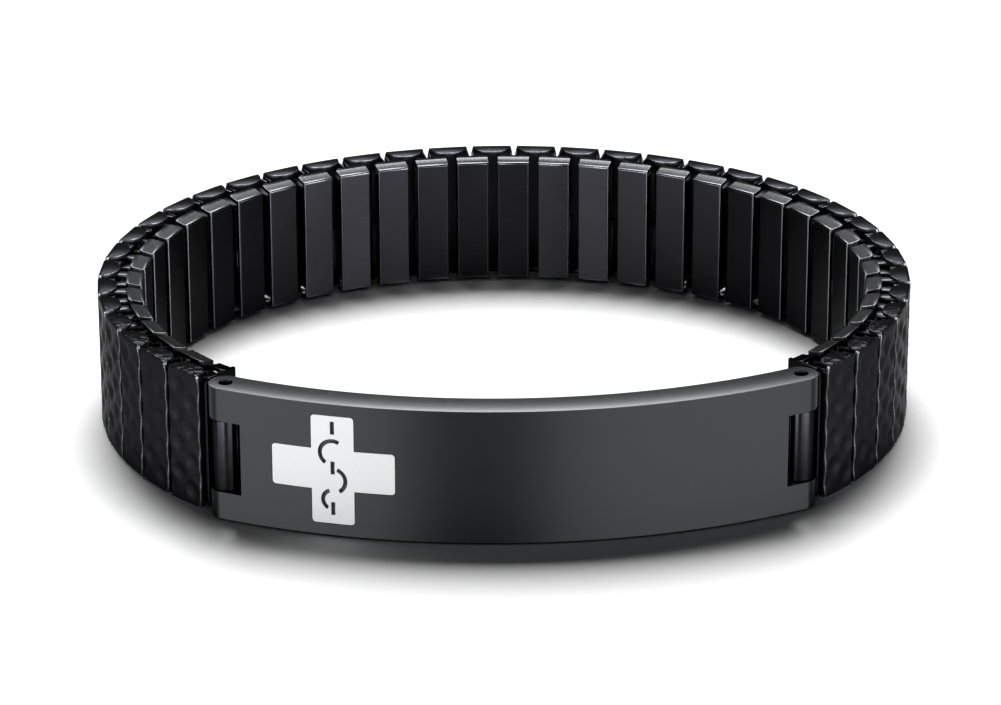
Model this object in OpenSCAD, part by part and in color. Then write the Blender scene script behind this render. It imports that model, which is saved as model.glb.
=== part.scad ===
// Medical alert bracelet: a stretch band of two staggered rows of metal shells, closed by a
// curved ID plate that hangs on a pin at each end. It lies on its side, so the loop's axis is
// upright, the plate faces -Y and the floor is z = 0. Sizes are in millimetres.

/* [Band] */
// Step from one shell to the next, along the middle of the band
shell_pitch = 3.92; // [3.7:0.02:4.3]
// Shells on each side of the one at the middle of the back
shells_per_side = 18; // [16:1:21]
// Height of the outer shells, which is the band's width on the wrist
band_h = 12; // [10:0.5:16]
// Depth of an outer shell, from its face to the tips of its tabs
outer_depth = 1.7; // [1.4:0.05:1.75]
// Depth of an inner shell
inner_depth = 1.45; // [1.3:0.05:1.8]
// Space between the tabs of the two rows
row_gap = 0.75; // [0.5:0.05:1.1]
// Thickness of the shells' sheet
sheet_t = 0.35; // [0.28:0.01:0.45]
// Radius of a sleeve's upright edges
edge_r = 0.2; // [0.1:0.02:0.22]
// Space between two outer shells, just behind their faces, across the back
outer_gap = 0.25; // [0.15:0.05:0.5]
// Space between the faces of two inner shells, round the sides
inner_gap = 0.75; // [0.5:0.05:1]
// How far the bends of the inner shells' tabs stay inside each edge of the band
inner_inset = 0.3; // [0.2:0.05:0.8]
// Rise of those tabs from their bends to their tips, at least 0.05 less than the line above
tab_rise = 0.25; // [0.1:0.05:0.75]
// Radius of the corners at the tips of an inner shell's tabs
tab_corner_r = 0.35; // [0.1:0.05:0.5]
// How much each corner of an outer shell's face is cut back, down to the width of its tabs
corner_cut = 0.17; // [0.05:0.01:0.25]
// Height of those cuts
corner_h = 0.65; // [0.4:0.05:1]

/* [Loop] */
// Radius of the band's middle line across the back
back_radius = 37; // [32:0.5:44]
// Length of that flatter stretch, from the middle of the back to each side
back_arc_len = 22; // [14:1:28]

/* [Hammered face] */
// Width of a dent
dent_d = 1.6; // [1.2:0.1:1.8]
// Depth of a dent
dent_depth = 0.15; // [0.06:0.01:0.18]
// Height from one dent to the next in its column
dent_pitch = 2.62; // [2.2:0.02:3.2]
// Plain margin above and below the dents
dent_margin = 0.3; // [0.2:0.1:1]

/* [Staples] */
// Width of a staple's strip
staple_w = 0.95; // [0.5:0.05:1]
// Thickness of the strip
staple_t = 0.3; // [0.2:0.05:0.35]
// Space between the legs of the upper staples and those of the lower ones
leg_gap = 1.4; // [1:0.1:4]
// Play between a staple's legs and the faces of the shells
staple_play = 0.12; // [0.1:0.01:0.15]
// Space between a staple's bridge and the tabs over it
bridge_play = 0.35; // [0.1:0.05:0.6]
// Space between a staple's side and the edge of the inner shell round it
staple_side_gap = 0.13; // [0.1:0.01:0.2]

/* [ID plate] */
// Distance between the two hinge pins
pin_spacing = 47.4; // [42:0.2:54]
// Radius of the plate's face
plate_radius = 54.5; // [45:0.5:80]
// Thickness of the plate
plate_t = 2.8; // [2.4:0.1:3.2]
// How far the plate stays inside each edge of the band
plate_inset = 0.15; // [0:0.05:0.5]
// Height of the upper fork at each end of the plate
upper_fork_h = 2.9; // [2:0.1:3.2]
// Height of the lower fork
lower_fork_h = 2.4; // [2:0.1:3.2]

/* [Hinges] */
// Diameter of a hinge pin
pin_d = 1; // [0.8:0.05:1.2]
// Play round a pin
pin_play = 0.1; // [0.05:0.01:0.15]
// Depth of the pin's ends below the plate's edges
pin_recess = 0.4; // [0:0.1:0.8]
// How far the barrel stays inside the plate's front and back faces
barrel_inset = 0.1; // [0.05:0.05:0.2]
// Play between the barrel's ends and the forks
notch_gap = 0.1; // [0.1:0.05:0.3]
// Space between the barrel and the end of its notch
notch_room = 0.65; // [0.3:0.05:0.8]
// Space between the last outer shell and the tip of a fork
hinge_gap = 0.74; // [0.74:0.02:1.1]
// Distance of a fork's inner side out from the tips of the inner shells' tabs
fork_gap = 0.1; // [0.1:0.05:0.4]
// Space between the end wall of an end link and the tips of the forks
wall_gap = 0.25; // [0.15:0.05:0.3]
// How far that wall stays inside the band's outer face
wall_inset = 0.35; // [0.2:0.05:0.6]
// Radius of the wall's two outer corners
wall_corner_r = 0.6; // [0.3:0.1:1]
// Length of the lids that cover the end link's opening, from the wall
lid_len = 1.4; // [1:0.1:1.6]
// Play between those lids and the staples
lid_play = 0.1; // [0.08:0.01:0.15]

/* [Emblem] */
// Width of the cross, along the plate
emblem_w = 10.4; // [8:0.1:12]
// Height of the cross
emblem_h = 9.6; // [7:0.1:9.6]
// Width of an arm of the cross
arm_w = 3.6; // [3:0.1:4.4]
// Radius of the arms' corners
arm_corner_r = 0.3; // [0.1:0.05:0.6]
// Distance from the plate's middle to the emblem's, along the face
emblem_spacing = 15.2; // [8:0.1:15.4]
// Thickness of the inlay
emblem_t = 0.35; // [0.2:0.05:0.6]
// Play round and under the inlay
emblem_play = 0.05; // [0.03:0.01:0.08]
// Width of the strokes cut through the inlay
stroke_w = 0.36; // [0.25:0.01:0.45]

/* [Hidden] */
$fn = 64;
plate_fn = 720;
degree = 180 / PI;
steel_black = "#2a2b2e";
steel_grey = "#47484b";
steel_bright = "#d9dadb";

// Distances out from the middle line of the band
outer_face = (outer_depth + row_gap + inner_depth) / 2;
inner_face = -outer_face;
inner_tip = inner_face + inner_depth;

// Lengths round the loop, from the middle of the back to the middle of an end link
band_len = (shells_per_side + 0.5) * shell_pitch;
side_len = band_len - back_arc_len;
back_turn = back_arc_len / back_radius * degree;

outer_w = shell_pitch * (1 + (outer_face - sheet_t) / back_radius) - outer_gap;
round_tab_r = outer_w / 2 - corner_cut;

// Places along the band seen from the middle of an end link: the fork's tip, and the pin
fork_tip = (outer_w - shell_pitch) / 2 + hinge_gap;
hinge_along = fork_tip + plate_t / 2;
hinge_out = inner_tip + fork_gap + plate_t / 2;

// Turn of the band at an end link, and the pin's distance from the middle plane, for the
// radius that the sides of the loop are bent to
function end_turn(side_r) = back_turn + side_len / side_r * degree;
function pin_x(side_r) = (back_radius - side_r) * sin(back_turn)
    + (side_r + hinge_out) * sin(end_turn(side_r)) + hinge_along * cos(end_turn(side_r));

// The side radius that brings the pin to the plate's end, found by halving its range
function closing_radius(low, high, steps) =
    let(middle = (low + high) / 2)
    steps == 0 ? middle
    : pin_x(middle) < pin_spacing / 2 ? closing_radius(middle, high, steps - 1)
    : closing_radius(low, middle, steps - 1);

half_turn_radius = side_len / (180 - back_turn) * degree;
side_radius = closing_radius(half_turn_radius, 3 * half_turn_radius, 40);
last_turn = end_turn(side_radius);

inner_w = shell_pitch * (1 + inner_face / side_radius) - inner_gap;
inner_h = band_h - 2 * inner_inset;
bend_depth = edge_r + sheet_t / 10;
tab_slope = atan(tab_rise / (inner_depth - bend_depth));
link_reach = fork_tip - wall_gap;
link_w = inner_w / 2 + link_reach - sheet_t / 2;

// The loop is centred on the plate's face and the back of the band
side_centre_y = (back_radius - side_radius) * cos(back_turn) - back_radius;
pin_y = side_centre_y + (side_radius + hinge_out) * cos(last_turn) - hinge_along * sin(last_turn);
plate_middle_r = plate_radius - plate_t / 2;
pin_angle = asin(pin_spacing / 2 / plate_middle_r);
plate_centre_y = pin_y + plate_middle_r * cos(pin_angle);
shift_y = -(outer_face + plate_centre_y - plate_radius) / 2;

// Turn of the band and place of its middle line, at a distance from the middle of the back
function turn_at(s) = s < back_arc_len ? s / back_radius * degree
    : back_turn + (s - back_arc_len) / side_radius * degree;
function place_at(s) = let(t = turn_at(s))
    s < back_arc_len ? [back_radius * sin(t), back_radius * (cos(t) - 1)]
    : [(back_radius - side_radius) * sin(back_turn) + side_radius * sin(t),
        side_centre_y + side_radius * cos(t)];

plate_h = band_h - 2 * plate_inset;
notch_bottom = plate_inset + lower_fork_h;
notch_h = plate_h - upper_fork_h - lower_fork_h;
barrel_d = plate_t - 2 * barrel_inset;
barrel_h = notch_h - 2 * notch_gap;
bore_d = pin_d + 2 * pin_play;
notch_reach = barrel_d / 2 + notch_room;

// A staple stands just inside the edge of an inner shell, where an outer one overlaps it
staple_offset = (shell_pitch - inner_w + staple_w) / 2 + staple_side_gap;
staple_top = band_h - inner_inset - sheet_t - bridge_play;
leg_bottom = (band_h + leg_gap) / 2;
leg_out = outer_face - sheet_t - staple_play;
leg_in = inner_face + sheet_t + staple_play;
lid_z = staple_top + lid_play;

dent_sphere_r = (dent_d * dent_d / 4 + dent_depth * dent_depth) / (2 * dent_depth);
dent_count = floor((band_h - dent_d - 2 * dent_margin) / dent_pitch + 0.5);
// Columns of dents: place across the face as a share of its width, and side of the half step
DENT_ACROSS = 0;
DENT_SIDE = 1;
dent_columns = [[-0.25, -1], [0.18, 1]];

emblem_angle = emblem_spacing / plate_radius * degree;

function shell_name(k) = let(n = k + shells_per_side + 1)
    str("outer_shell_", n < 10 ? "0" : "", n);

// Moves its child to a distance along the band: +X runs along it, +Y points out
module on_band(s) {
    side = s < 0 ? -1 : 1;
    place = place_at(abs(s));
    translate([side * place[0], place[1] + shift_y, 0])
        rotate(-side * turn_at(abs(s)))
            children();
}

// Moves its child to a hinge pin: X runs along the plate there, out past its end
module at_pin(side) {
    translate([side * pin_spacing / 2, pin_y + shift_y, 0])
        mirror([side < 0 ? 1 : 0, 0, 0])
            rotate(pin_angle)
                children();
}

// A sleeve's sheet from above, its face on y = 0 and its upright edges rounded
module face_strip(w) {
    translate([-w / 2, -sheet_t])
        square([w, sheet_t - edge_r]);
    translate([edge_r - w / 2, -sheet_t])
        square([w - 2 * edge_r, sheet_t]);
    intersection() {
        translate([-w / 2, -sheet_t])
            square([w, sheet_t]);
        for (side = [-1, 1])
            translate([side * (w / 2 - edge_r), -edge_r])
                circle(edge_r);
    }
}

// A thumbnail tab from above: half a disc, cut off a little at the shell's depth
module round_tab() {
    intersection() {
        circle(round_tab_r);
        translate([-round_tab_r, -outer_depth])
            square([2 * round_tab_r, outer_depth - edge_r]);
    }
}

// A square tab from above, from one depth to another, with its two far corners rounded
module square_tab(w, near, far, r) {
    translate([-w / 2, r - far])
        square([w, far - r - near]);
    translate([r - w / 2, -far])
        square([w - 2 * r, far - near]);
    for (side = [-1, 1])
        translate([side * (w / 2 - r), r - far])
            circle(r);
}

// The outline of an outer shell's face, seen from the front, with its corners cut
module face_outline() {
    polygon([
        [-round_tab_r, 0],
        [round_tab_r, 0],
        [outer_w / 2, corner_h],
        [outer_w / 2, band_h - corner_h],
        [round_tab_r, band_h],
        [-round_tab_r, band_h],
        [-outer_w / 2, band_h - corner_h],
        [-outer_w / 2, corner_h]
    ]);
}

module dents() {
    for (column = dent_columns, i = [0:dent_count - 1]) {
        row = i - (dent_count - 1) / 2 + column[DENT_SIDE] / 4;
        translate([
            column[DENT_ACROSS] * outer_w,
            dent_sphere_r - dent_depth,
            band_h / 2 + row * dent_pitch
        ])
            sphere(dent_sphere_r);
    }
}

module outer_shell(k) {
    color(steel_black)
        on_band(k * shell_pitch)
            translate([0, outer_face, 0])
                difference() {
                    union() {
                        intersection() {
                            linear_extrude(band_h)
                                face_strip(outer_w);
                            translate([0, outer_depth, 0])
                                rotate([90, 0, 0])
                                    linear_extrude(2 * outer_depth)
                                        face_outline();
                        }
                        for (z = [0, band_h - sheet_t])
                            translate([0, 0, z])
                                linear_extrude(sheet_t)
                                    round_tab();
                    }
                    dents();
                }
}

// An inner shell of width w: its tabs slope away from each other, from bend to tip
module inner_sleeve(w) {
    tab_len = (inner_depth - bend_depth) / cos(tab_slope);
    translate([0, inner_face, band_h / 2])
        rotate(180) {
            translate([0, 0, -inner_h / 2])
                linear_extrude(inner_h)
                    face_strip(w);
            for (end = [0, 1])
                mirror([0, 0, end])
                    translate([0, -bend_depth, inner_h / 2])
                        rotate([-tab_slope, 0, 0])
                            translate([0, 0, -sheet_t])
                                linear_extrude(sheet_t)
                                    square_tab(w, 0, tab_len, tab_corner_r);
        }
}

module inner_shells(side) {
    color(steel_black)
        for (k = [1:shells_per_side])
            on_band(side * (k - 0.5) * shell_pitch)
                inner_sleeve(inner_w);
}

// One staple, as the outline of a bridge with two legs, drawn in the upper half
module staple() {
    rotate([90, 0, 90])
        translate([0, 0, -staple_w / 2])
            linear_extrude(staple_w)
                polygon([
                    [leg_in, leg_bottom],
                    [leg_in + staple_t, leg_bottom],
                    [leg_in + staple_t, staple_top - staple_t],
                    [leg_out - staple_t, staple_top - staple_t],
                    [leg_out - staple_t, leg_bottom],
                    [leg_out, leg_bottom],
                    [leg_out, staple_top],
                    [leg_in, staple_top]
                ]);
}

module staple_row() {
    color(steel_grey)
        for (k = [-shells_per_side:shells_per_side], side = [-1, 1])
            on_band(k * shell_pitch + side * staple_offset)
                staple();
}

module staples_lower() {
    translate([0, 0, band_h])
        mirror([0, 0, 1])
            staple_row();
}

// The last inner shell, closed by an end wall and two lids, with a tongue that rolls round the
// hinge pin
module end_link(side) {
    tongue_from = hinge_out - barrel_d / 2 + barrel_inset / 2;
    tongue_to = hinge_out - bore_d / 2 - barrel_inset / 2;
    barrel_z = notch_bottom + notch_gap;
    lid_from = inner_tip - sheet_t / 2;
    color(steel_black)
        on_band(side * band_len)
            mirror([side < 0 ? 1 : 0, 0, 0])
                difference() {
                    union() {
                        translate([(link_w - inner_w) / 2, 0, 0])
                            inner_sleeve(link_w);
                        translate([link_reach - sheet_t, inner_face, band_h / 2])
                            rotate([180, -90, 0])
                                linear_extrude(sheet_t)
                                    square_tab(plate_h, edge_r / 2, outer_face - wall_inset - inner_face, wall_corner_r);
                        for (z = [band_h - lid_z - sheet_t, lid_z])
                            translate([link_reach - lid_len, lid_from, z])
                                cube([lid_len - sheet_t / 2, leg_out - lid_from, sheet_t]);
                        translate([link_reach - sheet_t, tongue_from, barrel_z])
                            cube([hinge_along - link_reach + sheet_t, tongue_to - tongue_from, barrel_h]);
                        translate([hinge_along, hinge_out, barrel_z])
                            cylinder(d = barrel_d, h = barrel_h);
                    }
                    translate([hinge_along, hinge_out, -1])
                        cylinder(d = bore_d, h = band_h + 2);
                }
}

module hinge_pin(side) {
    color(steel_black)
        translate([side * pin_spacing / 2, pin_y + shift_y, plate_inset + pin_recess])
            cylinder(d = pin_d, h = plate_h - 2 * pin_recess);
}

// The plate from above: an arc with a round end about each pin
module plate_plan() {
    reach = 2 * plate_radius;
    translate([0, plate_centre_y + shift_y])
        intersection() {
            difference() {
                circle(plate_radius, $fn = plate_fn);
                circle(plate_radius - plate_t, $fn = plate_fn);
            }
            polygon([
                [0, 0],
                [-reach * sin(pin_angle), -reach * cos(pin_angle)],
                [reach * sin(pin_angle), -reach * cos(pin_angle)]
            ]);
        }
    for (side = [-1, 1])
        translate([side * pin_spacing / 2, pin_y + shift_y])
            circle(d = plate_t);
}

// The room that a barrel takes out of the plate's end
module notch(side) {
    at_pin(side)
        translate([-notch_reach, -plate_t, notch_bottom])
            cube([notch_reach + plate_t, 2 * plate_t, notch_h]);
}

module id_plate() {
    color(steel_grey)
        difference() {
            translate([0, 0, plate_inset])
                linear_extrude(plate_h)
                    plate_plan();
            for (side = [-1, 1]) {
                notch(side);
                translate([side * pin_spacing / 2, pin_y + shift_y, -1])
                    cylinder(d = bore_d, h = band_h + 2);
            }
            inlay(emblem_t + emblem_play, emblem_play)
                cross_outline(emblem_play);
        }
}

// An arm of the cross with rounded corners, grown on every side by play
module arm(length, width, play) {
    r = arm_corner_r + play;
    x = length / 2 + play;
    y = width / 2 + play;
    square([2 * (x - r), 2 * y], center = true);
    square([2 * x, 2 * (y - r)], center = true);
    for (i = [-1, 1], j = [-1, 1])
        translate([i * (x - r), j * (y - r)])
            circle(r);
}

module cross_outline(play) {
    arm(emblem_w, arm_w, play);
    rotate(90)
        arm(emblem_h, arm_w, play);
}

// A stroke along an arc, from one angle to another
module arc_stroke(r, from, to) {
    reach = 3 * r;
    middle = (from + to) / 2;
    intersection() {
        difference() {
            circle(r + stroke_w / 2);
            circle(r - stroke_w / 2);
        }
        polygon([
            [0, 0],
            reach * [cos(from), sin(from)],
            reach * [cos(middle), sin(middle)],
            reach * [cos(to), sin(to)]
        ]);
    }
}

// A staff in three lengths and a serpent of three bends that passes between them
module staff_and_serpent() {
    bend_r = emblem_h / 9;
    head_y = emblem_h * 0.27;
    for (y = [-0.36, 0.02, 0.39])
        translate([0, y * emblem_h])
            square([stroke_w, emblem_h * 0.12], center = true);
    translate([0, head_y - bend_r])
        arc_stroke(bend_r, 60, 235);
    translate([0, -bend_r * 0.9])
        arc_stroke(bend_r, -60, 70);
    translate([0, -bend_r * 2.5])
        arc_stroke(bend_r * 0.8, 110, 240);
}

// Gives its child's outline the plate's curve, at the emblem's place in the face
module inlay(depth, over) {
    intersection() {
        translate([0, plate_centre_y + shift_y, 0])
            rotate(-emblem_angle)
                translate([0, 0, band_h / 2])
                    rotate([90, 0, 0])
                        linear_extrude(plate_radius + plate_t)
                            children();
        translate([0, plate_centre_y + shift_y, 0])
            difference() {
                cylinder(r = plate_radius + over, h = band_h, $fn = plate_fn);
                translate([0, 0, -1])
                    cylinder(r = plate_radius - depth, h = band_h + 2, $fn = plate_fn);
            }
    }
}

module emblem() {
    color(steel_bright)
        inlay(emblem_t, 0)
            difference() {
                cross_outline(0);
                staff_and_serpent();
            }
}

id_plate();
emblem();
hinge_pin(-1);  // hinge_pin_left
hinge_pin(1);  // hinge_pin_right
end_link(-1);  // end_link_left
end_link(1);  // end_link_right
for (k = [-shells_per_side:shells_per_side])
    outer_shell(k);
inner_shells(-1);  // inner_shells_left
inner_shells(1);  // inner_shells_right
staple_row();  // staples_upper
staples_lower();
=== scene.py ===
"""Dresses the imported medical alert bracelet: a stretch band of hammered sleeves and its ID plate.

The loop stands on its edge, so Z runs up through the wrist opening and the plate faces -Y. Lengths
in the dataclasses are in millimetres, and meshes are in metres, in the frame of the CAD model.
"""

import logging
import math
from collections.abc import Callable, Sequence
from dataclasses import dataclass
from enum import Enum

import bmesh
import bpy
from mathutils import Matrix, Vector


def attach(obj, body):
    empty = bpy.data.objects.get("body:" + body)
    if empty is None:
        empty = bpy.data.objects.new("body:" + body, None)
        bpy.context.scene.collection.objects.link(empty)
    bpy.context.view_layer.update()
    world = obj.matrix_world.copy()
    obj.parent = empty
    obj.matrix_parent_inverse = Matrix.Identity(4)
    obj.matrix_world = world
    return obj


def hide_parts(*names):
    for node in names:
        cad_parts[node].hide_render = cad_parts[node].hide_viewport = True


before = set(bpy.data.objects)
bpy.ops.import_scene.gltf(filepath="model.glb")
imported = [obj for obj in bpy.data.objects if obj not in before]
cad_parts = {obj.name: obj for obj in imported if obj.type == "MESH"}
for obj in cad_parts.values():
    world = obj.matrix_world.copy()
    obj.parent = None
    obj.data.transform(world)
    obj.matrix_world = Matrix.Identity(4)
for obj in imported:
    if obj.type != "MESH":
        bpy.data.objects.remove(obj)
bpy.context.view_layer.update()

LOG = logging.getLogger("bracelet")
MM = 0.001
ROOT = "root"
# Corners closer than this many metres are one
WELD = 1e-6
# A face looks along an axis if its normal has more than this share of it
SQUARE_ON = 0.93
BRUSHING = "brushing"
WEAR_AND_PAINTED_LIGHT = "wear_and_painted_light"

Point = tuple[float, float, float]


class Part(Enum):
    """The kind of mesh part that an edit works on."""

    VERTS = "VERT"
    EDGES = "EDGE"
    FACES = "FACE"


def mm(*lengths: float) -> Vector:
    """Turns lengths in millimetres into a vector in metres."""
    return Vector(lengths) * MM


def linear(hex_colour: str) -> tuple[float, float, float, float]:
    """Turns an sRGB colour into the linear one that a shader takes.

    Args:
        hex_colour: The colour as #RRGGBB.

    Returns:
        Red, green, blue and an alpha of 1.
    """
    shares = [int(hex_colour[i:i + 2], 16) / 255 for i in (1, 3, 5)]
    red, green, blue = (s / 12.92 if s <= 0.04045 else ((s + 0.055) / 1.055) ** 2.4 for s in shares)
    return red, green, blue, 1.0


def per_mm(length: float) -> float:
    """Gives the texture scale at which one cell of a pattern is as long as this."""
    return 1 / (length * MM)


def add_node(tree: bpy.types.NodeTree, kind: str, settings: dict[str, object] | None = None,
             inputs: dict[str | int, object] | None = None) -> bpy.types.Node:
    """Adds a node, with its settings and links.

    Args:
        tree: The node tree.
        kind: The node's type, such as ShaderNodeTexNoise.
        settings: Values of the node's own properties.
        inputs: What goes into each socket: another node's output, or a value.

    Returns:
        The new node.
    """
    node = tree.nodes.new(kind)
    for name, value in (settings or {}).items():
        setattr(node, name, value)
    for socket, value in (inputs or {}).items():
        if isinstance(value, bpy.types.NodeSocket):
            tree.links.new(value, node.inputs[socket])
        else:
            node.inputs[socket].default_value = value
    return node


def deselect() -> None:
    """Leaves object mode with nothing selected."""
    if bpy.context.object and bpy.context.object.mode != "OBJECT":
        bpy.ops.object.mode_set(mode="OBJECT")
    bpy.ops.object.select_all(action="DESELECT")


def activate(piece: bpy.types.Object) -> None:
    """Selects one object alone."""
    deselect()
    bpy.context.view_layer.objects.active = piece
    piece.select_set(True)


def edit(piece: bpy.types.Object, part: Part) -> None:
    """Opens a piece's mesh for editing, with none of it selected."""
    activate(piece)
    bpy.ops.object.mode_set(mode="EDIT")
    bpy.ops.mesh.select_mode(type=part.value)
    bpy.ops.mesh.select_all(action="DESELECT")


def pick(piece: bpy.types.Object, part: Part, test: Callable[..., bool]) -> int:
    """Selects the parts of an open mesh that pass a test, and no others.

    Args:
        piece: The object in edit mode.
        part: Vertices, edges or faces.
        test: Says whether a BMesh vertex, edge or face is wanted.

    Returns:
        How many were selected.
    """
    bpy.ops.mesh.select_mode(type=part.value)
    bpy.ops.mesh.select_all(action="DESELECT")
    mesh = bmesh.from_edit_mesh(piece.data)
    chosen = [item for item in getattr(mesh, part.name.lower()) if test(item)]
    for item in chosen:
        item.select_set(True)
    bmesh.update_edit_mesh(piece.data)
    return len(chosen)


def settle(piece: bpy.types.Object, place: Matrix) -> None:
    """Moves a piece and writes the move into its mesh.

    Args:
        piece: The object, whose mesh is in its own frame.
        place: Where that frame goes, in metres.
    """
    piece.matrix_world = place
    activate(piece)
    bpy.ops.object.transform_apply(location=True, rotation=True, scale=True)


def start_cube(name: str, low: Point, high: Point) -> bpy.types.Object:
    """Adds a cube between two corners, as a start to be shaped.

    Args:
        name: The object's name.
        low: Lowest corner in millimetres.
        high: Highest corner in millimetres.

    Returns:
        The cube, with its place in its mesh.
    """
    deselect()
    bpy.ops.mesh.primitive_cube_add(size=1)
    piece = bpy.context.object
    piece.name = name
    size = mm(*high) - mm(*low)
    settle(piece, Matrix.Translation((mm(*low) + mm(*high)) / 2) @ Matrix.Diagonal((*size, 1)))
    return piece


def start_cylinder(name: str, centre: Point, radius: float, height: float,
                   sides: int) -> bpy.types.Object:
    """Adds an upright cylinder, as a start to be shaped.

    Args:
        name: The object's name.
        centre: Its middle in millimetres.
        radius: Its radius in millimetres.
        height: Its height in millimetres.
        sides: How many sides it has.

    Returns:
        The cylinder, with its place in its mesh.
    """
    deselect()
    bpy.ops.mesh.primitive_cylinder_add(vertices=sides, radius=radius * MM, depth=height * MM)
    piece = bpy.context.object
    piece.name = name
    settle(piece, Matrix.Translation(mm(*centre)))
    return piece


def finish_with(piece: bpy.types.Object, kind: str, **settings: object) -> None:
    """Adds a modifier to a piece and applies it.

    Args:
        piece: The object.
        kind: The modifier's type.
        settings: The modifier's properties.
    """
    activate(piece)
    modifier = piece.modifiers.new(kind.title(), kind)
    for name, value in settings.items():
        setattr(modifier, name, value)
    bpy.ops.object.modifier_apply(modifier=modifier.name)


def round_edges(piece: bpy.types.Object, width: float, segments: int, angle: float = 40) -> None:
    """Rounds the edges of a piece that are sharper than an angle.

    Args:
        piece: The object.
        width: Width of the rounding in millimetres.
        segments: Faces across it.
        angle: The angle in degrees.
    """
    finish_with(piece, "BEVEL", width=width * MM, segments=segments, limit_method="ANGLE",
                angle_limit=math.radians(angle))


def flatten_faces(piece: bpy.types.Object) -> None:
    """Shades the large faces of a smooth piece flat, so that its roundings carry the highlight."""
    finish_with(piece, "WEIGHTED_NORMAL", keep_sharp=True)


def weld(piece: bpy.types.Object) -> None:
    """Merges corners that all but coincide, so that no sliver is left."""
    edit(piece, Part.VERTS)
    for step in (bpy.ops.mesh.remove_doubles, bpy.ops.mesh.dissolve_degenerate):
        bpy.ops.mesh.select_all(action="SELECT")
        step(threshold=WELD)
    bpy.ops.object.mode_set(mode="OBJECT")


def smooth(piece: bpy.types.Object, angle: float = 35) -> None:
    """Welds a finished piece and shades it smooth, apart from edges sharper than an angle in degrees."""
    weld(piece)
    activate(piece)
    bpy.ops.object.shade_smooth_by_angle(angle=math.radians(angle))


def combine(piece: bpy.types.Object, other: bpy.types.Object, operation: str) -> None:
    """Joins another solid to a piece, or cuts it out, and removes the other.

    Args:
        piece: The object that is kept.
        other: The object that is used up.
        operation: UNION or DIFFERENCE.
    """
    finish_with(piece, "BOOLEAN", object=other, operation=operation, solver="EXACT")
    bpy.data.objects.remove(other)
    weld(piece)


def set_at(template: bpy.types.Object, name: str, place: Matrix) -> bpy.types.Object:
    """Copies a template to a place, with a mesh of its own.

    Args:
        template: The object to copy.
        name: The copy's name.
        place: Where the template's own frame goes.

    Returns:
        The copy, with its place in its mesh.
    """
    copy = template.copy()
    copy.data = template.data.copy()
    copy.name = copy.data.name = name
    bpy.context.scene.collection.objects.link(copy)
    settle(copy, place)
    return copy


def join(name: str, pieces: Sequence[bpy.types.Object]) -> bpy.types.Object:
    """Joins separate pieces into one object, each still a closed form of its own."""
    deselect()
    for piece in pieces:
        piece.select_set(True)
    bpy.context.view_layer.objects.active = pieces[0]
    bpy.ops.object.join()
    pieces[0].name = pieces[0].data.name = name
    return pieces[0]


def lay_brushing(piece: bpy.types.Object, along: Callable[[Vector, Vector], tuple[float, float]]) -> None:
    """Gives a piece the map that its brush lines follow.

    Args:
        piece: The object.
        along: From a corner's place and its face's normal, the distances along and across the lines.
    """
    deselect()
    mesh = piece.data
    layer = mesh.uv_layers.get(BRUSHING) or mesh.uv_layers.new(name=BRUSHING)
    for face in mesh.polygons:
        for loop in face.loop_indices:
            layer.data[loop].uv = along(mesh.vertices[mesh.loops[loop].vertex_index].co, face.normal)


def mark_wear_and_painted_light(piece: bpy.types.Object, wear_and_highlight: Callable[[bpy.types.MeshPolygon], float]) -> None:
    """Marks each face of a piece from 0 to 1 for how far its coat goes to the lighter colour: thin coat on rims,
    painted highlight on tops.
    """
    deselect()
    mesh = piece.data
    layer = mesh.attributes.new(WEAR_AND_PAINTED_LIGHT, "FLOAT", "FACE")
    for face in mesh.polygons:
        layer.data[face.index].value = wear_and_highlight(face)


def fit_out(piece: bpy.types.Object, material: bpy.types.Material, slot: str, *nodes: str) -> None:
    """Gives a finished piece its material and its body, and hides the CAD nodes it stands for.

    Args:
        piece: The finished object.
        material: Its finish.
        slot: Not used.
        nodes: The CAD nodes it replaces.
    """
    piece.data.materials.clear()
    piece.data.materials.append(material)
    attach(piece, ROOT)
    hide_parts(*nodes)
    LOG.info("%s: %d faces, %s", piece.name, len(piece.data.polygons), material.name)


def start_material(name: str) -> tuple[bpy.types.Material, bpy.types.NodeTree, bpy.types.Node]:
    """Starts a material.

    Args:
        name: The real finish.

    Returns:
        The material, its node tree and its Principled shader.
    """
    material = bpy.data.materials.new(name)
    material.use_nodes = True
    return material, material.node_tree, material.node_tree.nodes["Principled BSDF"]


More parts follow.
